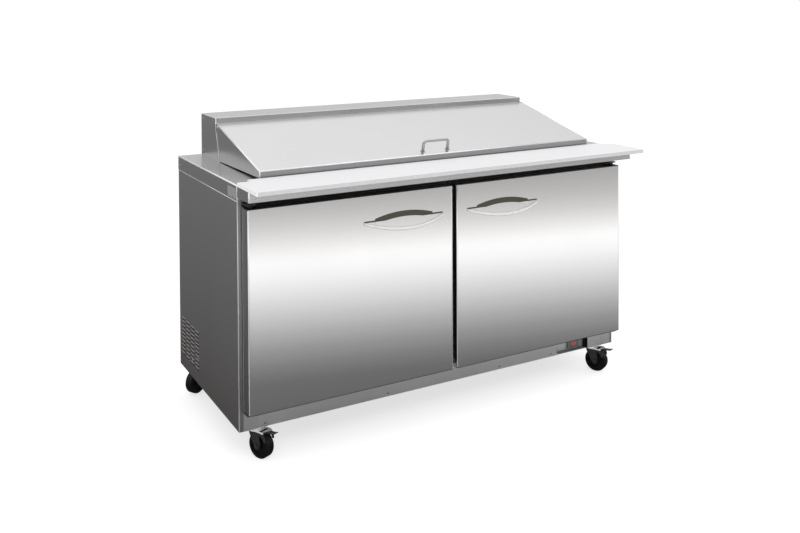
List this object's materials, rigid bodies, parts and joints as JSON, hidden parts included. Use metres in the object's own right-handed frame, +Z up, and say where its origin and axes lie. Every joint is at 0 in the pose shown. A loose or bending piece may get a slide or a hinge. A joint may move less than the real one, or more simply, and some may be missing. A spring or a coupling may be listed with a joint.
{
  "type": "sandwich prep table",
  "caption": "Refrigerated prep table on casters: full-length cutting board, sloped lift-up lid over food pans, two hinged doors, lower control and side louvres.",
  "frame": {"origin": "on the floor, under the middle of the overall width and depth", "axes": "+X to the user's right along the length, +Y from the user towards the rear, +Z up; the user stands at -Y"},
  "size_m": [1.5572, 0.866, 1.048],
  "materials": {
    "brushed_skin": "brushed stainless, grain vertical",
    "brushed_top": "brushed stainless, grain lengthwise",
    "polished_door": "finely polished stainless",
    "galvanised": "galvanised sheet",
    "black_plastic": "black plastic, satin",
    "key_grey": "grey rubberised key",
    "foam": "rigid polyurethane foam",
    "liner_aluminium": "stucco-free mill finish",
    "liner_white": "white moulded plastic",
    "pan_steel": "deep-drawn stainless",
    "board_white": "white polyethylene, fine matt texture",
    "polished_steel": "bright stainless",
    "satin_handle": "satin cast metal with a dark backing arch",
    "gasket": "soft black magnetic seal",
    "zinc": "bright zinc plate",
    "shelf_coating": "plastic-coated wire",
    "coil_aluminium": "thin fins on tube",
    "fan_plastic": "moulded black plastic",
    "motor_metal": "grey enamel",
    "compressor_black": "gloss black enamel",
    "copper": "drawn copper tube",
    "cord_rubber": "flexible cord jacket",
    "wheel_rubber": "black tread on a black core"
  },
  "bodies": {
    "cabinet": {"left_side_panel": "brushed_skin", "right_side_panel": "brushed_skin", "back_panel": "galvanised", "rear_grille": "galvanised", "floor_pan": "galvanised", "face_frame": "brushed_skin", "breaker_strip": "black_plastic", "kick_panel": "brushed_skin", "control_panel": "brushed_skin", "thermostat": "black_plastic", "insulation": "foam", "inner_liner": "liner_aluminium", "worktop": "brushed_top", "pan_divider_bars": "brushed_top", "food_pans": "pan_steel", "board_rail": "brushed_top", "hood_housing": "brushed_top", "lid_hinge_pins": "polished_steel", "door_hinge_brackets": "zinc", "wire_shelves": "shelf_coating", "shelf_supports": "polished_steel", "evaporator_cover": "liner_white", "evaporator_coil": "coil_aluminium", "fan_motors": "motor_metal", "condenser_coil": "coil_aluminium", "compressor": "compressor_black", "refrigerant_lines": "copper", "power_cord": "cord_rubber", "screws": "polished_steel", "caster_plates": "zinc"},
    "door_left": {"left_door_skin": "polished_door", "left_door_liner": "liner_white", "left_door_foam": "foam", "left_door_gasket": "gasket", "left_door_handle": "satin_handle"},
    "door_right": {"right_door_skin": "polished_door", "right_door_liner": "liner_white", "right_door_foam": "foam", "right_door_gasket": "gasket", "right_door_handle": "satin_handle"},
    "hood_lid": {"lid_shell": "brushed_top", "lid_foam": "foam", "lid_liner": "liner_white", "lid_handle": "polished_steel"},
    "cutting_board": {"cutting_board": "board_white"},
    "key_up": {"key_up": "key_grey"},
    "key_down": {"key_down": "key_grey"},
    "key_set": {"key_set": "key_grey"},
    "fan_evaporator": {"evaporator_fan": "fan_plastic"},
    "fan_condenser": {"condenser_fan": "fan_plastic"},
    "caster_front_left": {"caster_fork_front_left": "zinc"},
    "wheel_front_left": {"caster_wheel_front_left": "wheel_rubber"},
    "caster_front_right": {"caster_fork_front_right": "zinc"},
    "wheel_front_right": {"caster_wheel_front_right": "wheel_rubber"},
    "caster_rear_left": {"caster_fork_rear_left": "zinc"},
    "wheel_rear_left": {"caster_wheel_rear_left": "wheel_rubber"},
    "caster_rear_right": {"caster_fork_rear_right": "zinc"},
    "wheel_rear_right": {"caster_wheel_rear_right": "wheel_rubber"},
    "pedal_front_left": {"brake_pedal_front_left": "zinc"},
    "pedal_front_right": {"brake_pedal_front_right": "zinc"}
  },
  "joints": [
    {"name": "door_left_swing", "type": "hinge", "parent": "cabinet", "child": "door_left", "pos_m": [-0.745, -0.283, 0.501], "axis": [0, 0, -1], "range_deg": [0, 110]},
    {"name": "door_right_swing", "type": "hinge", "parent": "cabinet", "child": "door_right", "pos_m": [0.745, -0.283, 0.501], "axis": [0, 0, 1], "range_deg": [0, 110]},
    {"name": "hood_lift", "type": "hinge", "parent": "cabinet", "child": "hood_lid", "pos_m": [0, 0.215, 1.012], "axis": [-1, 0, 0], "range_deg": [0, 90]},
    {"name": "board_lift", "type": "slide", "parent": "cabinet", "child": "cutting_board", "axis": [0, 0, 1], "range_m": [0, 0.2]},
    {"name": "key_up_press", "type": "slide", "parent": "cabinet", "child": "key_up", "axis": [0, 1, 0], "range_m": [0, 0.0012]},
    {"name": "key_down_press", "type": "slide", "parent": "cabinet", "child": "key_down", "axis": [0, 1, 0], "range_m": [0, 0.0012]},
    {"name": "key_set_press", "type": "slide", "parent": "cabinet", "child": "key_set", "axis": [0, 1, 0], "range_m": [0, 0.0012]},
    {"name": "fan_condenser_spin", "type": "hinge", "parent": "cabinet", "child": "fan_condenser", "pos_m": [0.238, 0.287, 0.21], "axis": [1, 0, 0], "continuous": true},
    {"name": "fan_evaporator_spin", "type": "hinge", "parent": "cabinet", "child": "fan_evaporator", "pos_m": [0.25, 0.25, 0.678], "axis": [0, 1, 0], "continuous": true},
    {"name": "swivel_fl", "type": "hinge", "parent": "cabinet", "child": "caster_front_left", "pos_m": [-0.705, -0.215, 0.09], "axis": [0, 0, 1], "continuous": true},
    {"name": "wheel_fl_roll", "type": "hinge", "parent": "caster_front_left", "child": "wheel_front_left", "pos_m": [-0.6957, -0.23494, 0.043], "axis": [0.9063, 0.4226, 0], "continuous": true},
    {"name": "pedal_fl", "type": "hinge", "parent": "caster_front_left", "child": "pedal_front_left", "pos_m": [-0.68725, -0.25306, 0.086], "axis": [0.9063, 0.4226, 0], "range_deg": [0, 10]},
    {"name": "swivel_fr", "type": "hinge", "parent": "cabinet", "child": "caster_front_right", "pos_m": [0.705, -0.215, 0.09], "axis": [0, 0, 1], "continuous": true},
    {"name": "wheel_fr_roll", "type": "hinge", "parent": "caster_front_right", "child": "wheel_front_right", "pos_m": [0.7143, -0.23494, 0.043], "axis": [0.9063, 0.4226, 0], "continuous": true},
    {"name": "pedal_fr", "type": "hinge", "parent": "caster_front_right", "child": "pedal_front_right", "pos_m": [0.72275, -0.25306, 0.086], "axis": [0.9063, 0.4226, 0], "range_deg": [0, 10]},
    {"name": "swivel_rl", "type": "hinge", "parent": "cabinet", "child": "caster_rear_left", "pos_m": [-0.713, 0.369, 0.09], "axis": [0, 0, 1], "continuous": true},
    {"name": "wheel_rl_roll", "type": "hinge", "parent": "caster_rear_left", "child": "wheel_rear_left", "pos_m": [-0.73205, 0.358, 0.043], "axis": [0.5, -0.866, 0], "continuous": true},
    {"name": "swivel_rr", "type": "hinge", "parent": "cabinet", "child": "caster_rear_right", "pos_m": [0.713, 0.369, 0.09], "axis": [0, 0, 1], "continuous": true},
    {"name": "wheel_rr_roll", "type": "hinge", "parent": "caster_rear_right", "child": "wheel_rear_right", "pos_m": [0.69395, 0.358, 0.043], "axis": [0.5, -0.866, 0], "continuous": true}
  ]
}
